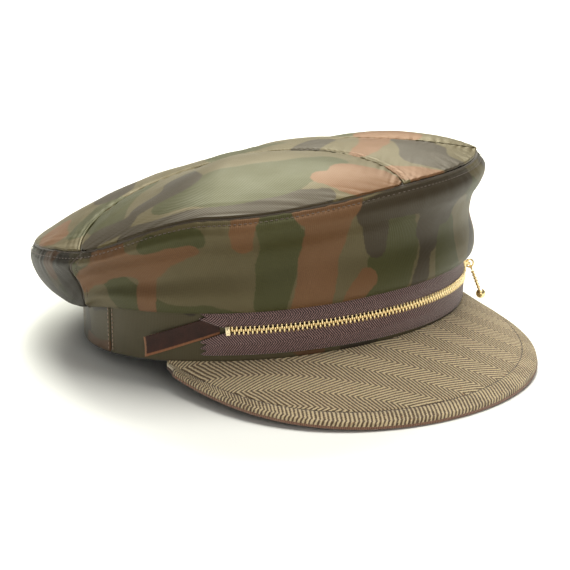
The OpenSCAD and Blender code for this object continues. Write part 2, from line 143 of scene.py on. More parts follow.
FRONT_WALL = [(0, 34.4), (3.4, 34.0), (5.6, 27.4), (7, 30.6), (7, 38), (4.8, 50), (7, 62), (11.6, 71), (13.2, 78)]
BACK_WALL = [(0, 34.4), (3.0, 34.0), (3.2, 20.6), (7.2, 19.4), (13, 23), (20, 28.5), (26, 35), (29, 41), (29.6, 45.5)]


def outline(a):
    """Points of the crown wall at one angle, as offset from the band and height above its bottom."""
    k, top = back_part(a), seam_z(a) - band_z(a)
    s, w = seam_xy(a), wall(a, 0, 0)
    so = (s.x - w.x) * -sin(a) + (s.y - w.y) * -cos(a)
    made = []
    for i, (f, g) in enumerate(zip(FRONT_WALL, BACK_WALL)):
        fx = f[0] + ((so - 9) * (f[1] - 30) / 50 if i > 3 else 0)
        fy = 30.6 + (f[1] - 30.6) * (top - 34) / 50.5 if i > 3 else f[1]
        gx = g[0] + ((so - 28) * (g[1] - 19) / 30 if i > 3 else 0)
        gy = 19.4 + (g[1] - 19.4) * (top - 22) / 27.5 if i > 2 else g[1]
        made.append(Vector((mix(fx, gx, k), mix(fy, gy, k))))
    made.append(Vector((so, top)))
    return made


def shell(a, q):
    """Point of the wall, sliding across to the top seam's own outline as it rises."""
    top = seam_z(a) - band_z(a)
    s, w = seam_xy(a), wall(a, 0, 0)
    slide = (s.x - w.x) * -cos(a) + (s.y - w.y) * sin(a)
    k = eased((q.y - 25) / max(1, top - 25)) * slide
    p = wall(a, q.x, q.y)
    return Vector((p.x - cos(a) * k, p.y + sin(a) * k, p.z))


def flow(points, t):
    """Smooth curve through points, t from 0 to 1."""
    n = len(points) - 1
    i = min(n - 1, int(t * n))
    f = t * n - i
    a, b = points[max(0, i - 1)], points[i]
    c, d = points[i + 1], points[min(n, i + 2)]
    return 0.5 * (2 * b + (c - a) * f + (2 * a - 5 * b + 4 * c - d) * f * f + (3 * b - a - 3 * c + d) * f ** 3)


def true_angle(x, y):
    first = a = math.degrees(math.atan2(-x, CROWN_BACK - y))
    for _ in range(3):
        s = seam_xy(a)
        d = first - math.degrees(math.atan2(-s.x, CROWN_BACK - s.y))
        a += ((d + 540) % 360) - 180
    return a


def top_z(x, y):
    a = true_angle(x, y)
    s = seam_xy(a)
    q = min(1.0, math.hypot(x, y - CROWN_BACK) / math.hypot(s.x, s.y - CROWN_BACK))
    return mix(CROWN_TOP - CROWN_DOME, seam_z(a), q) + CROWN_DOME * (1 - q ** 2.2)


def put(p, extra):
    return Vector((p.x, p.y, top_z(p.x, p.y) + extra))


def near_plan(t):
    """Plan of the seam between the centre panel and the side panel on the wearer's right."""
    f, r = seam_xy(PANEL_FRONT - TURN), seam_xy(PANEL_SIDE - TURN)
    b = [f + Vector((13.4, 33)), f + Vector((-4, 40)), r + Vector((127.4, 44)), r + Vector((30, 49))]
    u = 1 - t
    return (u ** 5 * f + 5 * u ** 4 * t * b[0] + 10 * u ** 3 * t * t * b[1]
            + 10 * u * u * t ** 3 * b[2] + 5 * u * t ** 4 * b[3] + t ** 5 * r)


def mirrored(p):
    d = Vector((sin(TURN), -cos(TURN)))
    q = p - CROWN_MID
    return CROWN_MID + 2 * q.dot(d) * d - q


def far_plan(t):
    f = seam_xy(-PANEL_FRONT - TURN) - mirrored(near_plan(0))
    r = seam_xy(-PANEL_SIDE - TURN) - mirrored(near_plan(1))
    return mirrored(near_plan(t)) + mix(f, r, t)


def rim(a):
    return mix(CROWN_MID, seam_xy(a), 0.998)


def side_top(inner, sign, u, t):
    """Side top panel: u runs from the rim to the inner seam, t from its front corner to its back one."""
    t = mix(0.012, 0.988, t)
    o = rim(sign * mix(PANEL_FRONT, PANEL_SIDE, t) - TURN)
    return put(mix(o, inner(t), u * 0.988), PUFF * 4 * u * (1 - u) * sin(180 * t))


def centre_top(u, v):
    """Centre top panel: u runs from the wearer's right seam to the left one, v from front to back."""
    v = mix(0.004, 0.996, v)
    u = mix(0.004, 0.996, u)
    a, b = PANEL_FRONT - TURN, -PANEL_FRONT - TURN
    c, d = PANEL_SIDE - TURN, 360 - PANEL_SIDE - TURN
    p = mix(near_plan(v), far_plan(v), u)
    p = p + (1 - v) * (rim(mix(a, b, u)) - mix(rim(a), rim(b), u))
    p = p + clamp((v - 0.4) / 0.6) ** 1.6 * (rim(mix(c, d, u)) - mix(rim(c), rim(d), u))
    return put(p, PUFF * 6 * u * (1 - u) * v * (1 - v))


def crown_side(a, t):
    return shell(a, flow(outline(a), t))


def visor_rim(s):
    return Vector((-VISOR_X * sin(90 * s), VISOR_Y - (VISOR_REACH - ROLL_W) * max(0.0001, cos(90 * s)) ** 0.657))


def visor_rim_z(s):
    return mix(band_z(VISOR_CORNER) + 0.8, EDGE_H, max(0.0001, cos(90 * s)) ** 0.39)


def visor_point(s, t, down=0.0):
    """Top of the visor: s from -1 at the wearer's left to 1, t from the band to the edge."""
    i, o = wall(VISOR_CORNER * s, 0.25, 0.8), visor_rim(s)
    z = mix(i.z, visor_rim_z(s), max(0.0, t) ** 0.95) + 1.6 * t * (1 - t) * cos(70 * s) - down
    return Vector((mix(i.x, o.x, t), mix(i.y, o.y, t), z))


def track(a, off, h):
    """Point on the zip's own level."""
    r = BAND_R + off
    z = r * sin(a) * sin(ZIP_TILT) + h * cos(ZIP_TILT)
    return Vector((
        -r * sin(a) * cos(ZIP_TILT) + h * sin(ZIP_TILT),
        -r * cos(a) * cos(SLOPE) + z * sin(SLOPE),
        ZIP_Z + r * cos(a) * sin(SLOPE) + z * cos(SLOPE),
    ))


def zip_mid(a):
    """Height of the zip's middle above the band's bottom."""
    return ZIP_H + (ZIP_HIGH + BAND_R * sin(a)) * ZIP_FALL


def deg(length):
    return length / CHAIN_MID * 180 / math.pi


# ---------------------------------------------------------------- finishes
def shader_sign(operation, turned=False):
    def made(*values):
        finish = values[0].finish
        return finish.add("ShaderNodeMath", {"operation": operation}, values[::-1] if turned else values)
    return made


class Amount:
    """A shader value that Python's own signs work on."""

    def __init__(self, finish, socket):
        self.finish, self.socket = finish, socket

    __add__ = __radd__ = shader_sign("ADD")
    __mul__ = __rmul__ = shader_sign("MULTIPLY")
    __sub__, __rsub__ = shader_sign("SUBTRACT"), shader_sign("SUBTRACT", True)
    __truediv__, __mod__ = shader_sign("DIVIDE"), shader_sign("FLOORED_MODULO")
    __abs__ = shader_sign("ABSOLUTE")

    def step(self, low, high):
        """0 below low, 1 above high, smooth between."""
        limits = {"Value": self, "From Min": low, "From Max": high}
        return self.finish.add("ShaderNodeMapRange", {"interpolation_type": "SMOOTHSTEP"}, limits)


class Finish:
    """A material under construction."""

    def __init__(self, name, **fixed):
        self.material = bpy.data.materials.new(name)
        self.material.use_nodes = True
        self.tree = self.material.node_tree
        self.shader = self.tree.nodes["Principled BSDF"]
        for socket, value in fixed.items():
            self.shader.inputs[socket.replace("_", " ")].default_value = value

    def _put(self, socket, value):
        if isinstance(value, Amount):
            self.tree.links.new(value.socket, socket)
        elif isinstance(value, tuple) and len(value) == 3 and len(socket.default_value) == 4:
            socket.default_value = (*value, 1)
        else:
            socket.default_value = value

    def add(self, kind, settings=None, inputs=(), output=0):
        node = self.tree.nodes.new(kind)
        for key, value in (settings or {}).items():
            if key == "stops":
                ramp = node.color_ramp
                for place, colour in value[2:]:
                    ramp.elements.new(place)
                for element, (place, colour) in zip(ramp.elements, value):
                    element.position, element.color = place, (*colour, 1)
            else:
                setattr(node, key, value)
        pairs = inputs.items() if isinstance(inputs, dict) else enumerate(inputs)
        for key, value in pairs:
            self._put(node.inputs[key], value)
        return Amount(self, node.outputs[output])

    def uv(self):
        """Place on the cloth in millimetres, along and across."""
        where = self.add("ShaderNodeUVMap", {"uv_map": "UVMap"})
        split = self.add("ShaderNodeSeparateXYZ", None, [where])
        other = Amount(self, split.socket.node.outputs[1])
        return where, split * 1000.0, other * 1000.0

    def point(self):
        """Place in the piece's own space, in metres."""
        return self.add("ShaderNodeTexCoord", None, (), 3)

    def speckle(self, vector, scale, detail=2.0, rough=0.5):
        inputs = {"Vector": vector, "Scale": scale, "Detail": detail, "Roughness": rough}
        return self.add("ShaderNodeTexNoise", None, inputs)

    def layer(self, name):
        return self.add("ShaderNodeAttribute", {"attribute_name": name}, (), 2)

    def blend(self, amount, a, b, kind="MIX"):
        settings = {"data_type": "RGBA", "blend_type": kind}
        node = self.add("ShaderNodeMix", settings, {0: amount}, 2).socket.node
        self._put(node.inputs[6], a)
        self._put(node.inputs[7], b)
        return Amount(self, node.outputs[2])

    def set(self, **values):
        for socket, value in values.items():
            self._put(self.shader.inputs[socket.replace("_", " ")], value)

    def relief(self, height, depth, strength=1.0):
        inputs = {"Height": height, "Distance": depth, "Strength": strength}
        self.set(Normal=self.add("ShaderNodeBump", None, inputs))


def rows_of(value, pitch):
    """Triangle wave from 1 to 0 and back over one pitch, for shader values and plain numbers."""
    return abs((value / pitch) % 1.0 - 0.5) * 2.0


def camouflage(name, painted_light_scale):
    """Printed satin; the second argument scales the whole print's colour, above 1 as painted light and below 1 as
    painted shade.
    """
    def with_painted_light(*colour):
        return tuple(c * painted_light_scale for c in colour)

    f = Finish(name, Metallic=0.32, Sheen_Weight=0.02, IOR=1.38)
    where, x, y = f.uv()
    wobble = (f.speckle(where, 420.0, 3.0) - 0.5) * 1.5
    olive = f.blend(f.speckle(where, 22.0), with_painted_light(0.084, 0.066, 0.029), with_painted_light(0.116, 0.091, 0.041))
    green = f.blend(f.speckle(where, 30.0), with_painted_light(0.042, 0.041, 0.010), with_painted_light(0.062, 0.058, 0.016))
    bark = f.blend(f.speckle(where, 26.0), with_painted_light(0.033, 0.023, 0.011), with_painted_light(0.050, 0.036, 0.018))
    russet = f.blend(f.speckle(where, 28.0), with_painted_light(0.120, 0.056, 0.021), with_painted_light(0.160, 0.077, 0.031))
    colour = olive
    for layer, dye in (("green", green), ("bark", bark), ("russet", russet)):
        colour = f.blend((f.layer(layer) + wobble).step(-0.5, 0.5), colour, dye)
    rib = rows_of(x + f.speckle(where, 260.0) * 0.5, 0.95)
    cross = rows_of(y, 0.7)
    grain = f.speckle(where, 2600.0, 1.0)
    colour = f.blend(rib * 0.09 + grain * 0.12, colour, (0.015, 0.014, 0.010))
    f.set(Base_Color=colour, Roughness=f.speckle(where, 60.0) * 0.16 + 0.40 + rib * 0.05)
    f.relief(rib * 0.8 + cross * 0.25 + f.speckle(where, 150.0, 3.0) * 1.2, 0.00012, 0.6)
    return f.material


def herringbone_tweed():
    f = Finish("herringbone_tweed", Roughness=0.9, Sheen_Weight=0.2, Sheen_Roughness=0.6)
    where, across, along = f.uv()
    fuzz = f.speckle(where, 900.0, 3.0, 0.6)
    drift = f.speckle(where, 110.0) * 1.3
    lay = across + 0.5 + drift * 0.4
    column = rows_of(lay, 21.0) * 10.5
    fine = ((lay / 21.0) % 1.0).step(0.47, 0.53)
    field = rows_of(along - column * 1.31 + fuzz * 0.7 + drift, 2.72)
    border = rows_of(f.layer("run") + f.layer("edge") * 0.35 + fuzz * 1.1, 2.1)
    inside = f.layer("edge").step(7.7, 8.3)
    line = field * inside + border * (1.0 - inside)
    thread = rows_of(across + along * 0.2, 1.1)
    dark = (line * 1.15 + fuzz * 0.85 - thread * 0.15 - fine * 0.12).step(0.56, 1.12)
    pale = f.blend(f.speckle(where, 1500.0), (0.42, 0.32, 0.17), (0.74, 0.59, 0.37))
    brown = f.blend(f.speckle(where, 700.0), (0.045, 0.022, 0.008), (0.15, 0.090, 0.040))
    colour = f.blend(dark, pale, brown)
    fleck = f.speckle(where, 420.0, 1.0).step(0.69, 0.76)
    colour = f.blend(fleck * 0.5, colour, (0.24, 0.10, 0.03))
    f.set(Base_Color=colour)
    f.relief((1.0 - dark) * 1.0 + fuzz * 1.0 + thread * 0.3, 0.0006, 0.9)
    return f.material


def zip_tape():
    f = Finish("zip_tape_twill", Roughness=0.7, Sheen_Weight=0.3, Sheen_Roughness=0.4)
    where, along, across = f.uv()
    fuzz = f.speckle(where, 1800.0, 2.0)
    column = rows_of(across, 11.0) * 5.5
    line = rows_of(along + column * 0.8 + fuzz * 0.25, 1.25)
    pick = rows_of(across + along * 0.3, 0.55)
    bright = (line + fuzz * 0.5 - pick * 0.1).step(0.62, 1.15)
    colour = f.blend(bright, (0.030, 0.013, 0.014), (0.34, 0.20, 0.19))
    f.set(Base_Color=colour)
    f.relief(bright + pick * 0.2 + fuzz * 0.3, 0.00025, 0.7)
    return f.material


def metal(name, low, high, rough):
    f = Finish(name, Metallic=1.0)
    where = f.point()
    smear = f.speckle(where, 900.0, 3.0)
    f.set(Base_Color=f.blend(smear, low, high), Roughness=f.speckle(where, 2400.0) * 0.14 + rough)
    f.relief(f.speckle(where, 1500.0), 0.00004, 0.5)
    return f.material


def velvet():
    f = Finish("velvet_ribbon", Sheen_Weight=0.6, Sheen_Roughness=0.3, Sheen_Tint=(0.55, 0.25, 0.14, 1))
    where, along, across = f.uv()
    fuzz = f.speckle(where, 1400.0, 3.0, 0.7)
    nap = f.speckle(where, 160.0, 2.0)
    edge = (fuzz * 0.5 - across).step(3.7, 4.4)
    cut = (1.1 - along + fuzz * 0.8).step(0.2, 1.0)
    pile = f.blend(nap * fuzz * 1.6, (0.010, 0.004, 0.003), (0.060, 0.018, 0.010))
    band = f.blend(rows_of(along, 0.7), (0.13, 0.040, 0.014), (0.34, 0.125, 0.040))
    colour = f.blend(cut * 0.8, f.blend(edge, pile, band), (0.30, 0.15, 0.08))
    f.set(Base_Color=colour, Roughness=0.85 - edge * 0.25)
    f.relief(fuzz + edge * rows_of(along, 0.7), 0.00025, 0.8)
    return f.material


def ribbed(name, low, high, pitch, rough=0.7, depth=0.0003):
    """Corded or ribbed cloth with its ribs across the length."""
    f = Finish(name, Roughness=rough, Sheen_Weight=0.2)
    where, along, _ = f.uv()
    fuzz = f.speckle(where, 1200.0, 2.0)
    rib = rows_of(along + fuzz * 0.15, pitch)
    f.set(Base_Color=f.blend(rib * 0.75 + fuzz * 0.25, high, low))
    f.relief(1.0 - rib + fuzz * 0.2, depth, 0.8)
    return f.material


def plain_cloth(name, low, high, rough, pitch=0.6):
    """Fine plain weave."""
    f = Finish(name, Sheen_Weight=0.15)
    where, along, across = f.uv()
    weave = rows_of(along, pitch) * rows_of(across, pitch)
    cloud = f.speckle(where, 40.0, 3.0)
    colour = f.blend(cloud * 0.7 + weave * 0.3, low, high)
    f.set(Base_Color=colour, Roughness=f.speckle(where, 300.0) * 0.1 + rough)
    f.relief(weave + f.speckle(where, 200.0, 3.0) * 1.5, 0.0001, 0.6)
    return f.material


def thread(name, low, high):
    f = Finish(name, Roughness=0.6, Sheen_Weight=0.3)
    where = f.point()
    split = f.add("ShaderNodeSeparateXYZ", None, [where])
    twist = rows_of((split + Amount(f, split.socket.node.outputs[2])) * 1000.0, 0.35)
    f.set(Base_Color=f.blend(twist, low, high))
    f.relief(twist, 0.00005, 0.6)
    return f.material


def pulp_board():
    f = Finish("pulp_board", Roughness=0.85)
    where = f.point()
    f.set(Base_Color=f.blend(f.speckle(where, 500.0, 4.0, 0.7), (0.42, 0.35, 0.25), (0.60, 0.53, 0.41)))
    f.relief(f.speckle(where, 900.0, 3.0), 0.0002, 0.4)
    return f.material


CAMO = camouflage("camouflage_satin", 1.0)
# Lighter copy of the same print for the top panels: painted highlight from the light above.
CAMO_PAINTED_LIGHT_TOP = camouflage("camouflage_satin_painted_light_top", 1.25)
# Darker copy of the same print for the band: painted shade under the crown's overhang.
CAMO_PAINTED_SHADE_BAND = camouflage("camouflage_satin_painted_shade_band", 0.66)
# Darker copy of the same print for the back wall: painted shade where the wall turns in and away from the light.
CAMO_PAINTED_SHADE_BACK = camouflage("camouflage_satin_painted_shade_back", 0.42)
TWEED = herringbone_tweed()
TAPE = zip_tape()
BRASS = metal("polished_brass", (0.80, 0.60, 0.29), (0.95, 0.78, 0.46), 0.20)
PALE_BRASS = metal("pale_brass", (0.86, 0.70, 0.42), (0.95, 0.82, 0.56), 0.22)
VELVET = velvet()
EDGING = ribbed("edge_rib", (0.070, 0.028, 0.014), (0.34, 0.17, 0.10), 1.05, 0.75, 0.0005)
UNDER = ribbed("under_visor_rep", (0.045, 0.022, 0.016), (0.095, 0.050, 0.036), 1.3)
GROSGRAIN = ribbed("sweatband_grosgrain", (0.012, 0.010, 0.009), (0.035, 0.030, 0.027), 1.0)
LINING = plain_cloth("lining_taffeta", (0.16, 0.14, 0.10), (0.24, 0.21, 0.155), 0.42)
BINDING = plain_cloth("black_binding", (0.006, 0.006, 0.005), (0.016, 0.015, 0.013), 0.6)
SEAM_THREAD = thread("seam_thread", (0.060, 0.040, 0.030), (0.13, 0.090, 0.066))
PINK_THREAD = thread("rose_brown_thread", (0.26, 0.16, 0.12), (0.42, 0.29, 0.22))
DARK_THREAD = thread("dark_thread", (0.030, 0.016, 0.010), (0.075, 0.045, 0.028))
# Dark colour for the folds in the seams: painted shade down in the seam creases.
SEAM_CREASE_SHADE = plain_cloth("seam_fold_painted_shade", (0.034, 0.022, 0.012), (0.060, 0.042, 0.024), 0.6)
BOARD = pulp_board()

# ---------------------------------------------------------------- camouflage print, in millimetres on the cloth
# Each run of a colour is a string of rounded ends: along, up, half width
WALL_PRINT = {
    "russet": [
        [(146, 49, 7), (142, 44, 10), (134, 36, 8)], [(172, 25, 3.5), (158, 29, 5), (140, 36, 8)],
        [(137, 37, 8), (124, 36, 7), (109, 42, 4.5), (99, 45, 4)],
        [(131, 34, 7), (129, 26, 4), (131, 20, 5), (133, 12, 5.5)],
        [(71, 62, 7), (73, 54, 5), (74, 46, 5)], [(40, 62, 9), (24, 64, 9)],
        [(31, 62, 11), (35, 44, 10), (41, 30, 9), (50, 6, 10)], [(17, 21, 5), (25, 14, 4.5), (33, 4, 4)],
    ],
    "bark": [
        [(14, 55, 6), (-4, 57, 8), (-20, 55, 9), (-44, 58, 10)], [(12, 52, 6), (9, 42, 6), (9, 35, 6)],
        [(-22, 50, 8), (-24, 38, 9), (-25, 32, 7)], [(-36, 50, 7), (-38, 40, 5)],
        [(-22, 30, 3), (-14, 14, 5), (-10, 2, 5)], [(100, 2, 6), (84, 6, 5), (70, 5, 6)],
        [(160, 46, 5), (154, 44, 3)],
    ],
    "green": [
        [(58, 60, 9), (54, 44, 11), (62, 30, 9), (68, 14, 8)], [(-2, 44, 9), (-6, 33, 10), (4, 22, 12), (8, 8, 12)],
        [(-40, 30, 9), (-36, 16, 10), (-44, 6, 9)], [(118, 48, 6), (108, 50, 5), (96, 52, 6)],
        [(152, 30, 8), (146, 18, 9), (120, 8, 7), (100, 9, 6), (84, 8, 4)], [(166, 34, 7), (163, 30, 6)],
    ],
}
BACK_PRINT = {
    "russet": [[(176, 52, 5), (182, 46, 6), (186, 38, 4)]],
    "bark": [
        [(172, 38, 7), (178, 26, 9), (176, 12, 8)], [(196, 48, 8), (206, 34, 10), (202, 18, 9)],
        [(226, 40, 9), (232, 20, 8)],
    ],
    "green": [[(160, 30, 6), (164, 10, 8)], [(190, 24, 8), (190, 8, 8)], [(216, 52, 8), (220, 28, 7)]],
}
NEAR_PRINT = {
    "russet": [[(-26, -76, 6), (-17, -84, 10), (-6, -94, 13)], [(-12, -76, 8), (-2, -88, 10)]],
    "bark": [
        [(-104, -22, 6), (-101, -36, 6), (-92, -52, 7), (-80, -66, 7), (-62, -78, 7), (-44, -84, 6), (-34, -88, 5)],
        [(-84, -10, 8), (-70, -20, 10), (-60, -6, 8)], [(-104, 6, 8), (-98, -10, 7)],
    ],
    "green": [
        [(-80, -30, 12), (-64, -46, 18), (-46, -58, 20), (-26, -62, 14), (-12, -62, 10)],
        [(-96, 4, 8), (-84, 22, 12), (-60, 34, 14)],
    ],
}
CENTRE_PRINT = {
    "russet": [
        [(42, -32, 8), (34, -42, 7), (22, -50, 6), (14, -54, 5)], [(12, -84, 8), (22, -92, 9), (34, -97, 7)],
        [(-99, 44, 5), (-96, 54, 7), (-88, 62, 8)], [(-20, 70, 9), (-4, 84, 8), (14, 80, 9)],
        [(-30, 10, 8), (-12, -8, 7)],
    ],
    "bark": [
        [(60, -30, 10), (52, -56, 12), (40, -74, 12), (52, -92, 10)], [(20, -16, 8), (-4, -28, 9)],
        [(-60, 50, 10), (-44, 70, 12)], [(20, 40, 10), (30, 60, 10), (10, 104, 9)],
    ],
    "green": [
        [(-92, 30, 10), (-72, 38, 9)], [(-10, 20, 12), (10, 10, 9)], [(-60, 92, 12), (-36, 98, 10)],
        [(60, -4, 8), (50, 20, 10)],
    ],
}
FAR_PRINT = {
    "russet": [
        [(46, -20, 6), (56, -28, 8), (62, -36, 6)], [(78, -33, 4), (84, -36, 4)],
        [(60, 40, 9), (74, 56, 9), (70, 74, 8)], [(100, 4, 8), (94, 18, 8)],
    ],
    "bark": [[(70, -20, 8), (86, -22, 9), (96, -34, 8)], [(52, 64, 10), (40, 84, 9)], [(84, 30, 8), (98, 44, 8)]],
    "green": [[(64, 4, 11), (80, 10, 9)], [(56, -4, 9), (44, -10, 8)], [(84, 70, 9), (66, 92, 9)]],
}
BAND_PRINT = {
    "russet": [[(94, 27, 4), (90, 32, 5)], [(-30, 10, 5), (-44, 20, 6), (-58, 16, 5)], [(40, 2, 3), (50, 4, 3)]],
    "bark": [[(104, 28, 4), (112, 30, 3)], [(12, 3, 4), (26, 2, 3)], [(-80, 16, 9), (-104, 12, 8)]],
    "green": [[(166, 30, 7), (172, 14, 8), (168, 2, 6)], [(-8, 26, 8), (-24, 24, 7)], [(-130, 22, 9), (-150, 12, 9)]],
}


def grown(seed, x0, x1, y0, y1, gap):
    """Camouflage for cloth away from the front: branching runs laid out evenly, with the same result each time."""
    made = {"russet": [], "bark": [], "green": []}
    names = list(made)
    count = 0
    x = x0
    while x < x1:
        y = y0 + (gap * 0.5 if count % 2 else 0)
        while y < y1:
            p = [noise.noise(Vector((seed + count * 0.71, k * 3.3, x * 0.013))) for k in range(6)]
            turn = p[0] * 7
            px, py = x + p[1] * gap * 0.6, y + p[2] * gap * 0.6
            run = [(px, py, gap * (0.2 + 0.12 * p[3]))]
            for k in range(2):
                turn += p[4 - k] * 3
                px, py = px + gap * 0.55 * math.cos(turn), py + gap * 0.55 * math.sin(turn)
                run.append((px, py, gap * (0.15 + 0.12 * p[5 - k])))
            made[names[count % 3]].append(run)
            count += 1
            y += gap
        x += gap * 0.8
    return made


def amount_of(runs, x, y):
    """Distance inside the nearest run, negative outside."""
    best = -30.0
    for run in runs:
        for (ax, ay, ar), (bx, by, br) in zip(run, run[1:]):
            dx, dy = bx - ax, by - ay
            h = clamp(((x - ax) * dx + (y - ay) * dy) / max(1e-6, dx * dx + dy * dy))
            d = mix(ar, br, h) - math.hypot(x - ax - dx * h, y - ay - dy * h)
            if d > best - 3:
                best = max(best, d) + 0.25 * max(0.0, 3 - abs(d - best)) ** 2 / 3
    return best


# ---------------------------------------------------------------- cloth
def joined(*prints):
    return {k: [run for p in prints for run in p[k]] for k in ("russet", "bark", "green")}


def near_edges(t, k):
    """Spreads steps so that they crowd together at both ends."""
    return t - k / (2 * math.pi) * math.sin(2 * math.pi * t)


def added(name, data):
    made = bpy.data.objects.new(name, data)
    scene.collection.objects.link(made)
    return made


def finished(bm, name, material, node=None, body="cap", sharp=None):
    """Makes a piece of a bmesh that is built in millimetres, and gives it its finish and body."""
    bmesh.ops.scale(bm, vec=(MM, MM, MM), verts=bm.verts)
    bmesh.ops.translate(bm, vec=(0, CENTRE_Y * MM, 0), verts=bm.verts)
    for face in bm.faces:
        face.smooth = True
    if sharp:
        for edge in bm.edges:
            if len(edge.link_faces) == 2 and edge.calc_face_angle(0) > math.radians(sharp):
                edge.smooth = False
    mesh = bpy.data.meshes.new(name)
    bm.to_mesh(mesh)
    bm.free()
    piece = added(name, mesh)
    mesh.materials.append(material)
    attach(piece, body)
    if node:
        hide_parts(*([node] if isinstance(node, str) else node))
    return piece


def cloth(name, steps, place, on_cloth, material, node=None, thick=1.3, crowd=(0.0, 0.0),
          shaped=None, printed=None, body="cap"):
    """Sheet of cloth over place(u, v), with its own measure on_cloth(u, v) in millimetres.

    shaped(u, v, measure, point) moves it along its outward direction. printed names layers for its finish:
    each is a list of runs or a value of u and v.
    """
    bm = bmesh.new()
    bmesh.ops.create_grid(bm, x_segments=steps[0], y_segments=steps[1], size=0.5)
    uv = bm.loops.layers.uv.new("UVMap")
    bm.verts.index_update()
    spots = []
    for v in bm.verts:
        a = near_edges(clamp(v.co.x + 0.5), crowd[0])
        b = near_edges(clamp(v.co.y + 0.5), crowd[1])
        spots.append((a, b, on_cloth(a, b)))
        v.co = place(a, b)
    for face in bm.faces:
        for loop in face.loops:
            s = spots[loop.vert.index][2]
            loop[uv].uv = (s[0] * MM, s[1] * MM)
    bm.normal_update()
    if shaped:
        moves = [(v, v.normal * shaped(*spots[v.index], v.co)) for v in bm.verts]
        for v, move in moves:
            v.co += move
        bm.normal_update()
    if printed:
        for layer, runs in printed.items():
            store = bm.verts.layers.float.new(layer)
            for v in bm.verts:
                u, across, spot = spots[v.index]
                v[store] = runs(u, across) if callable(runs) else amount_of(runs, *spot)
    piece = finished(bm, name, material, node, body)
    solid = piece.modifiers.new("thickness", "SOLIDIFY")
    solid.thickness = thick * MM
    solid.offset = -1
    return piece


def rolled(distance, width=2.2, depth=1.3):
    """How far a sewn edge dives into its seam."""
    t = clamp(distance / width)
    return -depth * (1 - math.sqrt(1 - (1 - t) ** 2))


def ripple(spot, scale, seed):
    return noise.noise(Vector((spot[0] / scale, spot[1] / scale, seed)))


def puckers(distance, along, seed, reach=9.0, size=0.55):
    """Small gathers that run out from a seam."""
    return size * math.exp(-max(0.0, distance) / reach) * noise.noise(Vector((along / 3.2, distance / 16, seed)))


def stitches(name, line, length, pitch, material, long=0.72, wide=0.42):
    """Row of sewn stitches. line(t) gives a point and the cloth's outward direction there."""
    bm = bmesh.new()
    count = max(2, int(length / pitch))
    for k in range(count):
        t = (k + 0.5) / count
        p, n = line(t)
        x = (line(min(1.0, t + 0.25 / count))[0] - line(max(0.0, t - 0.25 / count))[0]).normalized()
        n = (n - n.dot(x) * x).normalized()
        turn = Matrix((x, n.cross(x), n)).transposed().to_4x4()
        size = Matrix.Diagonal((pitch * long / 2, wide / 2, wide / 2, 1))
        bmesh.ops.create_uvsphere(bm, u_segments=6, v_segments=5, radius=1.0,
                                  matrix=Matrix.Translation(p + n * (wide * 0.2)) @ turn @ size)
    return finished(bm, name, material)


def surface_line(place, path, lift=0.0):
    """Line over place(u, v) along path(t), with the outward direction of the surface."""
    def line(t):
        u, v = path(t)
        e = 0.004
        p = place(u, v)
        a = place(min(1.0, u + e), v) - place(max(0.0, u - e), v)
        b = place(u, min(1.0, v + e)) - place(u, max(0.0, v - e))
        n = a.cross(b).normalized()
        return p + n * lift, n
    return line


def length_of(points):
    return sum((b - a).length for a, b in zip(points, points[1:]))


# Crown wall, in two panels that meet at the side seams
def wall_length(a, t):
    p = outline(a)
    n = t * 9
    i = min(8, int(n))
    return length_of(p[:i + 1]) + (p[i + 1] - p[i]).length * (n - i)


def leaned(a, t):
    """Angle of the wall's thread line, which leans towards the back lower down."""
    return a + SEAM_LEAN * sin(a + TURN) * (1 - t)


def wall_panel(name, a0, a1, steps, node, printed, satin):
    lengths = [wall_length(mix(a0, a1, k / 40), 1.0) for k in range(41)]
    width = abs(a1 - a0) * WALL_DEGREE

    def place(u, v):
        return crown_side(leaned(mix(a0, a1, u), v), v)

    def on_cloth(u, v):
        a = leaned(mix(a0, a1, u), v)
        return a * WALL_DEGREE, wall_length(a, v)

    def shaped(u, v, s, p):
        up = between(lengths, u) - s[1]
        side = min(u, 1 - u) * width
        ridge = 0.30 * clamp(1 - abs(up - 1.8) / 1.3) - 0.30 * clamp(1 - abs(up - 3.4) / 1.0)
        soft = eased(s[1] / 18) * (0.6 * ripple(s, 40, 2.0) + 0.18 * ripple(s, 15, 5.0))
        gather = puckers(up, s[0], 7.0) + puckers(side, s[1], 11.0, 12.0, 0.8)
        return rolled(up, 0.9, 0.22) + rolled(side, 1.2, 0.35) + ridge + soft + gather

    cloth(name, steps, place, on_cloth, satin, node, CROWN_T - 0.1, (0.25, 0.45),
          shaped, printed)
    return place


FRONT_A, FRONT_B = PANEL_SIDE - TURN - 0.1, -PANEL_SIDE - TURN + 0.1
BACK_A, BACK_B = 360 - PANEL_SIDE - TURN - 0.1, PANEL_SIDE - TURN + 0.1
front_place = wall_panel("crown_wall_front", FRONT_A, FRONT_B, (300, 84), "wall_panel_front",
                         joined(WALL_PRINT, grown(3.0, -250, -62, 6, 60, 26)), CAMO)
back_place = wall_panel("crown_wall_back", BACK_A, BACK_B, (170, 60), "wall_panel_back",
                        joined(BACK_PRINT, grown(9.0, 240, 440, 4, 60, 25)), CAMO_PAINTED_SHADE_BACK)


# Top panels
def in_plan(place):
    """Measures a cloth over place(u, v) as it lies seen from above."""
    def on_cloth(u, v):
        p = place(u, v)
        return p.x, p.y
    return on_cloth


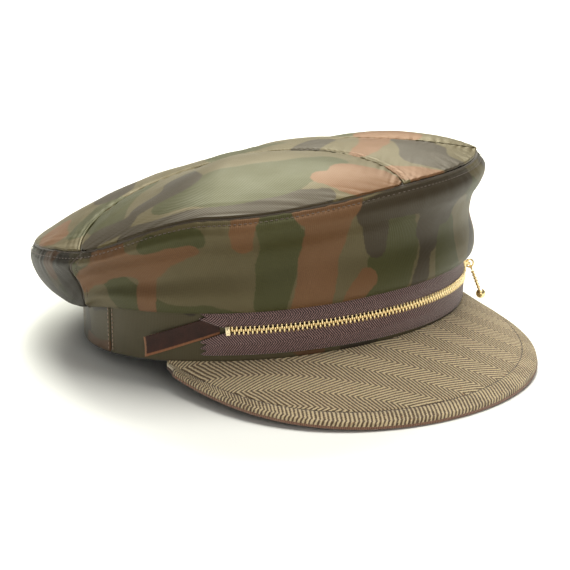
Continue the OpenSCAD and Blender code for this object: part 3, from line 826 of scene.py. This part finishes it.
def side_panel(name, inner, sign, node, printed):
    widths = [(side_top(inner, sign, 0, k / 40) - side_top(inner, sign, 1, k / 40)).length for k in range(41)]
    flip = sign > 0

    def place(u, v):
        return side_top(inner, sign, u, 1 - v if flip else v)

    def shaped(u, v, s, p):
        w = between(widths, 1 - v if flip else v)
        outer, inside = u * w, (1 - u) * w
        creases = 1.1 * ripple(s, 38, 3.0) + 0.3 * ripple(s, 14, 8.0)
        soft = eased(min(outer, inside) / 16) * creases
        gather = puckers(outer, p.x + p.y, 17.0, 8.0, 0.45) + puckers(inside, p.x - p.y, 23.0, 10.0, 0.6)
        return rolled(outer, 0.9, 0.25) + rolled(inside, 1.1, 0.3) + soft + gather

    cloth(name, (96, 150), place, in_plan(place), CAMO_PAINTED_LIGHT_TOP, node,
          CROWN_T - 0.1, (0.5, 0.1), shaped, printed)


side_panel("top_side_right", near_plan, 1, "top_side_panel_right",
           joined(NEAR_PRINT, grown(5.0, -110, -40, 40, 110, 24)))
side_panel("top_side_left", far_plan, -1, "top_side_panel_left",
           joined(FAR_PRINT, grown(7.0, 20, 110, 96, 130, 24)))


def centre_place(u, v):
    return centre_top(u, 1 - v)


def centre_shaped(u, v, s, p):
    w = (centre_top(0, 1 - v) - centre_top(1, 1 - v)).length
    near, far = u * w, (1 - u) * w
    ends = min(v, 1 - v) * 200
    ridge = 0.0
    for side in (near, far):
        ridge += 0.35 * clamp(1 - abs(side - 1.6) / 1.2) - 0.25 * clamp(1 - abs(side - 3.1) / 0.9)
    creases = ripple(s, 36, 6.0) + 0.35 * ripple(s, 13, 9.0)
    soft = eased(min(near, far) / 14) * creases
    gather = puckers(min(near, far), p.x - p.y, 31.0, 10.0, 0.6) + puckers(ends, p.x, 37.0, 9.0, 0.6)
    return rolled(near, 1.1, 0.25) + rolled(far, 1.1, 0.25) + rolled(ends, 1.0, 0.3) + ridge + soft + gather


cloth("top_centre", (130, 170), centre_place, in_plan(centre_place), CAMO_PAINTED_LIGHT_TOP, "top_centre_panel",
      CROWN_T - 0.1, (0.5, 0.3), centre_shaped, CENTRE_PRINT)


def seam_fold(name, line, steps, radius=0.6, deep=0.55):
    """Turned-in allowance down in a seam along line(t), a narrow fold coloured dark as painted shade in the seam's
    crease.
    """
    middle = Vector((0, CROWN_BACK, 45))
    spine = [line(k / steps) for k in range(steps + 1)]

    def place(u, v):
        n = u * steps
        i = min(steps - 1, int(n))
        p, d = mix(spine[i], spine[i + 1], n - i), (spine[i + 1] - spine[i]).normalized()
        out = (p - middle).normalized()
        out = (out - out.dot(d) * d).normalized()
        return p - out * deep + (out * cos(360 * v) + d.cross(out) * sin(360 * v)) * radius

    length = length_of(spine)
    cloth(name, (steps, 10), place, lambda u, v: (u * length, v * 4), SEAM_CREASE_SHADE, None, 0.15)


for name, place, steps in (("front", front_place, 220), ("back", back_place, 120)):
    seam_fold("top_seam_fold_" + name, lambda t, q=place: mix(q(t, 1), q(t, 0.985), 0.3), steps)
for name, u in (("right", 0), ("left", 1)):
    seam_fold("top_seam_fold_" + name, lambda t, u=u: centre_place(u, t), 150)
for name, u in (("right", 0), ("left", 1)):
    seam_fold("side_seam_fold_" + name, lambda t, u=u: front_place(u, mix(0.04, 0.99, t)), 60)


# Band, with its black inner edge, stiffener and sweatband
def belt_piece(name, a0, a1, steps, off, h0, h1, material, node, thick, shaped=None, printed=None,
               crowd=(0.2, 0.3)):
    def place(u, v):
        return wall(mix(a0, a1, u), off, mix(h0, h1, v))

    def on_cloth(u, v):
        return mix(a0, a1, u) * BAND_DEGREE, mix(h0, h1, v)

    cloth(name, steps, place, on_cloth, material, node, thick, crowd, shaped, printed)
    return place


def band_shape(span):
    def shaped(u, v, s, p):
        side = min(u, 1 - u) * span * BAND_DEGREE
        low = v * BAND_H
        soft = eased(low / 6) * 0.22 * ripple(s, 26, 4.0)
        ridge = 0.22 * clamp(1 - abs(side - 1.4) / 1.2)
        gather = puckers(side, s[1], 3.0, 7.0, 0.2)
        return rolled(side, 0.9, 0.35) + rolled(low, 1.0, 0.6) + soft + ridge + gather
    return shaped


band_place = belt_piece("band_front_cloth", SIDE_SEAM - 0.1, -SIDE_SEAM + 0.1, (240, 30), 0, 0, BAND_H,
                        CAMO_PAINTED_SHADE_BAND, "band_front", 1.5, band_shape(2 * SIDE_SEAM), BAND_PRINT)
back_band_place = belt_piece("band_back_cloth", 360 - SIDE_SEAM - 0.1, SIDE_SEAM + 0.1, (230, 30), 0, 0, BAND_H,
                             CAMO_PAINTED_SHADE_BAND, "band_back", 1.5, band_shape(360 - 2 * SIDE_SEAM),
                             grown(12.0, 160, 450, 2, 32, 24))


def full_belt(name, off, h0, h1, material, node, thick, steps, shaped=None):
    """Strip that runs the whole way round inside the band."""
    belt_piece(name, 179.7, -179.7, steps, off, h0, h1, material, node, thick, shaped, None, (0.0, 0.3))


def sweatband_shape(u, v, s, p):
    return rolled(v * 28, 1.4, 0.35) + rolled((1 - v) * 28, 1.4, 0.35) + 0.08 * ripple(s, 15, 2.0)


full_belt("sweatband_cloth", -4.36 + 1.2, 0.9, BAND_H - 3, GROSGRAIN, "sweatband", 1.1, (240, 20), sweatband_shape)
full_belt("band_inner_edge", -0.25, 0.06, 1.5, BINDING, None, 0.9, (220, 14))
for name in ("band_stiffener", "visor_board"):
    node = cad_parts[name]
    node.data.materials.clear()
    node.data.materials.append(BOARD)


# Crown lining
def lining_outline(a):
    """Outline of the lining at one angle, in from the crown wall."""
    k, p = back_part(a), outline(a)
    q = []
    for i, here in enumerate(p):
        d = (p[min(9, i + 1)] - p[max(0, i - 1)]).normalized()
        q.append(here + Vector((-d.y, d.x)) * (CROWN_T + 1.5))
    e = p[9] + Vector((-0.7, -0.71)) * 4.8
    s = Vector((2.6, BAND_H + 4))
    made = [Vector((-3.0, BAND_H - 0.4)), Vector((-3.0, BAND_H + 4.2)), s]
    return made + [mix(q[i], mix(s, e, (i - 4) / 5), k) for i in range(5, 9)] + [e]


def lining_side(u, v):
    a = mix(-179.7, 179.7, u)
    return shell(a, flow(lining_outline(a), v))


def lining_top(u, v):
    r = seam_xy(mix(179.7, -179.7, u))
    p = mix(CROWN_MID, r, mix(0.02, 0.9, v))
    return put(p, -4.35 - 2 * mix(0.02, 0.9, v))


cloth("lining_wall_cloth", (200, 30), lining_side, lambda u, v: (u * 640, v * 60), LINING,
      "crown_lining_wall", 0.5, (0, 0),
      lambda u, v, s, p: 0.15 * ripple(s, 22, 3.0) * eased(min(v, 1 - v) * 8))
cloth("lining_top_cloth", (180, 44), lining_top, in_plan(lining_top), LINING,
      "crown_lining_top", 0.5, (0, 0),
      lambda u, v, s, p: 0.2 * ripple(s, 26, 5.0) * eased((1 - v) * 8))


# Visor
# Angle between the tweed's columns and the cap's middle, and profiles out and down from the rim
TWEED_TURN = 43.5
TURN_PROFILE = [(0.0, 0.0), (0.5, 0.1), (0.9, 0.45), (1.1, 1.0), (1.15, 1.8), (1.1, 2.6)]
EDGE_PROFILE = [(0.8, 2.35), (1.15, 2.45), (1.4, 2.8), (1.42, 3.3), (1.15, 3.8), (0.6, 4.1), (0, 4.15), (-1, 4.15)]
EDGE_CLOTH, CHANNEL_DEPTH = 6, 0.42


def visor_side(u):
    """Place along the rim, as visor_rim takes it, for u from 0 to 1."""
    return mix(-VISOR_SPAN, VISOR_SPAN, u)


def visor_depth(s):
    return (visor_point(s, 1) - visor_point(s, 0)).length


def edge_point(s, profile, t):
    """Point on the visor's edge, t of the way along a profile."""
    q = flow([Vector(k) for k in profile], t)
    o, d = visor_rim(s), (visor_rim(s + 0.004) - visor_rim(s - 0.004)).normalized()
    return Vector((o.x - d.y * q.x, o.y + d.x * q.x, visor_rim_z(s) - q.y))


def visor_top(u, v):
    """Tweed cover: v up to TURN_DOWN lies over the board, the rest turns down over the edge."""
    s = visor_side(u)
    if v <= TURN_DOWN:
        return visor_point(s, v / TURN_DOWN)
    return edge_point(s, TURN_PROFILE, (v - TURN_DOWN) / (1 - TURN_DOWN))


def visor_shape(u, v, s, p):
    edge = (TURN_DOWN - v) / TURN_DOWN * visor_depth(visor_side(u))
    if edge < 0:
        return 0.0
    channel = -CHANNEL_DEPTH * math.exp(-((edge - CHANNEL) / 0.9) ** 2)
    pad = 0.30 * math.exp(-((edge - 4.4) / 2.6) ** 2)
    lumps = 0.18 * ripple(s, 17, 2.0) * clamp(edge / 4)
    return channel + pad * clamp(edge / 2) + lumps


def on_tweed(u, v):
    """Across and along the tweed's columns."""
    p = visor_top(u, min(v, TURN_DOWN))
    x = p.x * cos(TWEED_TURN) + p.y * sin(TWEED_TURN)
    y = p.x * sin(TWEED_TURN) - p.y * cos(TWEED_TURN)
    return x, y + max(0.0, v - TURN_DOWN) * TURNED


RIM_RUN = [0.0]
for k in range(80):
    RIM_RUN.append(RIM_RUN[-1] + (visor_rim((k + 1) / 40 - 1) - visor_rim(k / 40 - 1)).length)


def rim_run(u, v):
    """Distance along the visor's rim."""
    return between(RIM_RUN, clamp(u))


def rim_gap(u, v):
    """Distance in from the visor's rim, less than 0 on the part turned down."""
    if v < TURN_DOWN:
        return (TURN_DOWN - v) / TURN_DOWN * visor_depth(visor_side(u))
    return (TURN_DOWN - v) * TURNED


cloth("visor_tweed_cover", (260, 130), visor_top, on_tweed, TWEED, "visor_top_cover", 0.7,
      (0, 0.6), visor_shape, {"run": rim_run, "edge": rim_gap})


def visor_below(u, v):
    return visor_point(mix(VISOR_SPAN, -VISOR_SPAN, u), v, EDGE_H - 0.15)


def visor_edge(u, v):
    return edge_point(visor_side(u), EDGE_PROFILE, v)


EDGE_LENGTH = length_of([visor_edge(k / 60, 0.5) for k in range(61)])
cloth("visor_under_cloth", (160, 50), visor_below, in_plan(visor_below), UNDER, "visor_under_cover",
      1.0, (0, 0.35),
      lambda u, v, s, p: rolled((1 - v) * visor_depth(visor_side(u)), 1.2, 0.5) * 0.6)
cloth("visor_edge_cloth", (420, 14), visor_edge, lambda u, v: (u * EDGE_LENGTH, v * EDGE_CLOTH), EDGING,
      "visor_edge_roll", 0.7)


# Zip
# Where a tape leaves the chain's level for the band's, how far its start spreads, and how deep it is pinked
TAPE_FOLD, TAPE_SPREAD, PINKING = 4.4, 4.2, 3.8


def tape_section(a, up, w):
    """Point across one tape at an angle, w from 0 at the teeth to 1 at its outer edge."""
    edge = TAPE_EDGE + TAPE_SPREAD * clamp((a - (ZIP_START + deg(2.5))) / deg(12.5))
    far, m = TAPE_EDGE + TAPE_W, max(edge + 1, TAPE_FOLD)
    d, middle = mix(edge, far, w), wall(a, 1.0 + TAPE_T, zip_mid(a) + up * m)
    if d < m:
        return mix(track(a, 1.2 + TAPE_T, up * edge), middle, (d - edge) / (m - edge))
    return mix(middle, wall(a, 0.3 + TAPE_T, zip_mid(a) + up * far), (d - m) / (far - m))


def tape_piece(name, up, node):
    a0, a1 = ZIP_START + deg(15), -ZIP_END - deg(3)

    def outward(v):
        return v if up > 0 else 1 - v

    def along(u, v):
        notch = deg(PINKING) * rows_of(outward(v) * 2.5 + 0.25, 1.0)
        return a0 - (a0 - a1) * u - notch * max(0.0, 1 - u * 26)

    def place(u, v):
        return tape_section(along(u, v), up, outward(v))

    def on_cloth(u, v):
        return -along(u, v) * TAPE_DEGREE, outward(v) * TAPE_W * up + 0.2

    def shaped(u, v, s, p):
        far, near = outward(1 - v) * TAPE_W, outward(v) * TAPE_W
        soft = 0.10 * ripple(s, 9, 2.0) * clamp(near - 3.4)
        cord = 0.12 * clamp(1 - abs(near - TAPE_FOLD) / 0.8)
        return soft - 0.25 * clamp(1 - far / 0.6) + cord - 0.3 * clamp(1 - near / 0.5)

    cloth(name, (420, 26), place, on_cloth, TAPE, node, TAPE_T - 0.1, (0.0, 0.2), shaped)


tape_piece("zip_tape_upper_twill", 1, "zip_tape_upper")
tape_piece("zip_tape_lower_twill", -1, "zip_tape_lower")


def on_zip(a):
    """Turns things into the zip's level: X outward, Y along the band, Z up."""
    lift = Matrix.Translation((0, 0, ZIP_Z)) @ Matrix.Rotation(math.radians(-SLOPE), 4, "X")
    lift = lift @ Matrix.Rotation(math.radians(ZIP_TILT), 4, "Y")
    return lift @ Matrix.Rotation(math.radians(-90 - a), 4, "Z")


def rounded_block(bm, low, high, matrix, bevel, segments):
    """Adds a block with eased edges between two corners."""
    made = bmesh.ops.create_cube(bm, size=1.0)["verts"]
    size = [h - l for l, h in zip(low, high)]
    bmesh.ops.scale(bm, vec=size, verts=made)
    bmesh.ops.translate(bm, vec=[(l + h) / 2 for l, h in zip(low, high)], verts=made)
    edges = list({e for v in made for e in v.link_edges})
    done = bmesh.ops.bevel(bm, geom=edges, offset=bevel, segments=segments, profile=0.5, affect="EDGES", material=-1)
    verts = list({v for f in done["faces"] for v in f.verts} | {v for v in made if v.is_valid})
    bmesh.ops.transform(bm, matrix=matrix, verts=verts)


def teeth(name, up, shift, node):
    """Row of brass teeth on one tape, shifted along by part of a pitch."""
    bm = bmesh.new()
    first, last, step = ZIP_START - deg(2), -ZIP_END + deg(1.5), deg(TOOTH_PITCH)
    for i in range(int((first - last) / step - 0.5) + 1):
        at = on_zip(first - (i + shift) * step)
        low = (BAND_R + 0.6, -0.46, -0.75 if up > 0 else -2.3)
        high = (BAND_R + 2.6, 0.46, 2.3 if up > 0 else 0.75)
        rounded_block(bm, low, high, at, 0.22, 1)
    finished(bm, name, BRASS, node, sharp=60)


teeth("zip_teeth_upper_brass", 1, 0, "zip_teeth_upper")
teeth("zip_teeth_lower_brass", -1, 0.5, "zip_teeth_lower")
bm = bmesh.new()
rounded_block(bm, (BAND_R + 0.5, -1.15, -2.4), (BAND_R + 3.4, 1.15, 2.4), on_zip(ZIP_START), 0.35, 2)
rounded_block(bm, (BAND_R + 3.2, -0.55, -1.3), (BAND_R + 3.55, 0.55, 1.3), on_zip(ZIP_START), 0.12, 1)
finished(bm, "zip_bottom_stop_brass", PALE_BRASS, "zip_bottom_stop", sharp=60)
bm = bmesh.new()
for side in (-1, 1):
    low, high = (0.35, 2.55) if side > 0 else (-2.55, -0.35)
    rounded_block(bm, (BAND_R + 0.5, -0.9, low), (BAND_R + 3.4, 0.9, high), on_zip(-ZIP_END), 0.3, 2)
finished(bm, "zip_top_stops_brass", PALE_BRASS, "zip_top_stops", sharp=60)


def softened(node, name, body, width=0):
    """A CAD metal part with its edges eased, as cast and tumbled brass has."""
    bm = bmesh.new()
    bm.from_mesh(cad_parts[node].data)
    bmesh.ops.remove_doubles(bm, verts=bm.verts, dist=1e-6)
    bmesh.ops.dissolve_limit(bm, angle_limit=math.radians(2), verts=bm.verts, edges=bm.edges)
    edges = [e for e in bm.edges if len(e.link_faces) == 2 and e.calc_face_angle(0) > math.radians(40)]
    if width:
        bmesh.ops.bevel(bm, geom=edges, offset=width * MM, segments=2, profile=0.5, affect="EDGES",
                        material=-1, clamp_overlap=True)
    bmesh.ops.translate(bm, vec=(0, -CENTRE_Y * MM, 0), verts=bm.verts)
    bmesh.ops.scale(bm, vec=(1 / MM, 1 / MM, 1 / MM), verts=bm.verts)
    finished(bm, name, BRASS, node, body, sharp=50)


softened("slider_body", "slider_plate", "slider", 0.18)
softened("slider_bridge", "slider_loop", "slider", 0.1)
softened("puller_ring", "pull_ring", "ring")
softened("puller_eye", "pull_eye", "pull")
softened("puller_beads", "pull_beads", "pull")
softened("puller_ball", "pull_ball", "pull")


# Ribbon tab
def ribbon_place(u, v):
    a0 = ZIP_START + deg(5)
    a1 = a0 + deg(RIBBON_L)
    a = mix(a1, a0, u)
    lift = 0.12 + 3.4 * (1 - u) ** 2.4
    mid = ZIP_H - 8.7 + 12 * u
    q = (v - 0.5) * RIBBON_W
    picot = 0.32 * rows_of(u * 24, 1.0) * clamp((v - 0.9) * 10)
    curl = 0.5 * (v - 0.5) ** 2 * 4 * (1 - u)
    return wall(a + deg(0.5 * (v - 0.5) * (1 - u)), lift + 0.45 + curl, mid + q + picot)


ribbon = cloth("velvet_ribbon_tab", (120, 24), ribbon_place, lambda u, v: (u * RIBBON_L, (v - 0.5) * RIBBON_W),
               VELVET, "ribbon_tab", 0.42, (0, 0.2))


# ---------------------------------------------------------------- sewing
def crown_stitches(name, place, path, length):
    """Stitches along path(t) over place(u, v)."""
    stitches(name, surface_line(place, path), length, STITCH, SEAM_THREAD)


def wall_row(a0, a1):
    """Path along the wall's top seam, WALL_ROW below it."""
    def path(t):
        a = mix(a0, a1, t)
        last = wall_length(a, 1.0) - wall_length(a, 8 / 9)
        return t, 1 - WALL_ROW / last / 9
    return path


def top_row(near):
    """Path along one seam of the centre top panel, TOP_ROW in from it."""
    def path(t):
        v = mix(0.015, 0.985, t)
        d = TOP_ROW / max(8.0, (centre_place(0, v) - centre_place(1, v)).length)
        return (d if near else 1 - d), v
    return path


def upright_row(u, low, high):
    return lambda t: (u, mix(low, high, t))


crown_stitches("seam_stitches_front", front_place, wall_row(FRONT_A, FRONT_B), 470)
crown_stitches("seam_stitches_back", back_place, wall_row(BACK_A, BACK_B), 250)
crown_stitches("top_stitches_right", centre_place, top_row(True), 235)
crown_stitches("top_stitches_left", centre_place, top_row(False), 235)
crown_stitches("wall_seam_stitches_front_right", front_place, upright_row(0.009, 0.32, 0.99), 50)
crown_stitches("wall_seam_stitches_front_left", front_place, upright_row(0.991, 0.32, 0.99), 50)
for side, u in (("right", 0.006), ("left", 0.994)):
    for name, place, at in (("", band_place, u), ("back_", back_band_place, 1 - u)):
        stitches("band_seam_stitches_" + name + side, surface_line(place, upright_row(at, 0.04, 0.72)), 22, 2.2,
                 PINK_THREAD, 0.85, 0.5)


def visor_row(t):
    u = mix(0.035, 0.965, t)
    return u, TURN_DOWN * (1 - CHANNEL / visor_depth(visor_side(u)))


stitches("visor_stitches", surface_line(visor_top, visor_row, -CHANNEL_DEPTH), 320, 2.6, DARK_THREAD,
         0.85, 0.5)
for name, up in (("upper", 1), ("lower", -1)):
    def tape_row(t, up=up):
        a = mix(ZIP_START + deg(10), -ZIP_END, t)
        p = wall(a, 0.45 + TAPE_T, zip_mid(a) + up * (TAPE_EDGE + TAPE_W - 1.6))
        return p, wall(a, 2, ZIP_H) - wall(a, 0, ZIP_H)
    stitches("tape_stitches_" + name, tape_row, 205, 2.6, DARK_THREAD, 0.7, 0.3)


def sweat_row(t):
    a = mix(-179, 179, t)
    return wall(a, -4.4, BAND_H - 5), wall(a, -6, 5) - wall(a, -4, 5)


stitches("sweatband_stitches", sweat_row, 560, 3.4, SEAM_THREAD, 0.7, 0.4)

# ---------------------------------------------------------------- floor, light and camera
bm = bmesh.new()
bmesh.ops.create_grid(bm, x_segments=8, y_segments=8, size=6.0)
mesh = bpy.data.meshes.new("studio_floor")
bm.to_mesh(mesh)
bm.free()
floor = added("studio_floor", mesh)
pale = Finish("pale_floor", Roughness=0.9)
pale.set(Base_Color=pale.blend(pale.speckle(pale.point(), 3.0), (0.93, 0.94, 0.92), (0.95, 0.955, 0.94)))
mesh.materials.append(pale.material)

world = bpy.data.worlds.new("studio_room")
world.use_nodes = True
sky = world.node_tree.nodes["Background"].inputs
sky["Color"].default_value = (1.0, 0.99, 0.94, 1)
sky["Strength"].default_value = 0.24
scene.world = world


def softbox(name, place, aim, size, power, colour=(1, 1, 1)):
    light = bpy.data.lights.new(name, "AREA")
    light.shape, light.size, light.size_y = "RECTANGLE", *size
    light.energy, light.color = power, colour
    lamp = added(name, light)
    lamp.location = place
    lamp.rotation_euler = (Vector(aim) - Vector(place)).to_track_quat("-Z", "Y").to_euler()


softbox("back_softbox", (0.75, 1.1, 1.35), (0, 0, 0.08), (1.3, 0.8), 44, (1.0, 1.0, 0.88))
softbox("top_softbox", (0.1, -0.2, 1.7), (0, 0, 0.05), (1.2, 1.0), 26, (1.0, 0.99, 0.92))
softbox("front_softbox", (-0.7, -1.6, 0.7), (0, 0, 0.05), (0.8, 0.6), 7, (1.0, 0.96, 0.88))

# The camera looks at a point beside the cap's middle from AWAY metres; shifts are to its right and down
AZIMUTH, ELEVATION, ROLL, AWAY = -37.85, 18.74, -0.93, 2.10827
MIDDLE, SHIFT_RIGHT, SHIFT_DOWN, LENS = (0, 0.015549, 0.046624), 0.007015, 0.01875, 263.06
back = Vector((sin(AZIMUTH) * cos(ELEVATION), -cos(AZIMUTH) * cos(ELEVATION), sin(ELEVATION)))
level = Vector((cos(AZIMUTH), sin(AZIMUTH), 0))
upward = back.cross(level)
across = level * cos(ROLL) + upward * sin(ROLL)
upright = upward * cos(ROLL) - level * sin(ROLL)
aim = Vector(MIDDLE) + across * SHIFT_RIGHT - upright * SHIFT_DOWN
camera_data = bpy.data.cameras.new("camera")
camera_data.sensor_width = 36.0
camera_data.lens = LENS
camera_data.clip_end = 50.0
camera = added("camera", camera_data)
camera.matrix_world = Matrix.Translation(aim + back * AWAY) @ Matrix((across, upright, back)).transposed().to_4x4()
scene.camera = camera
scene.view_settings.view_transform = "Standard"
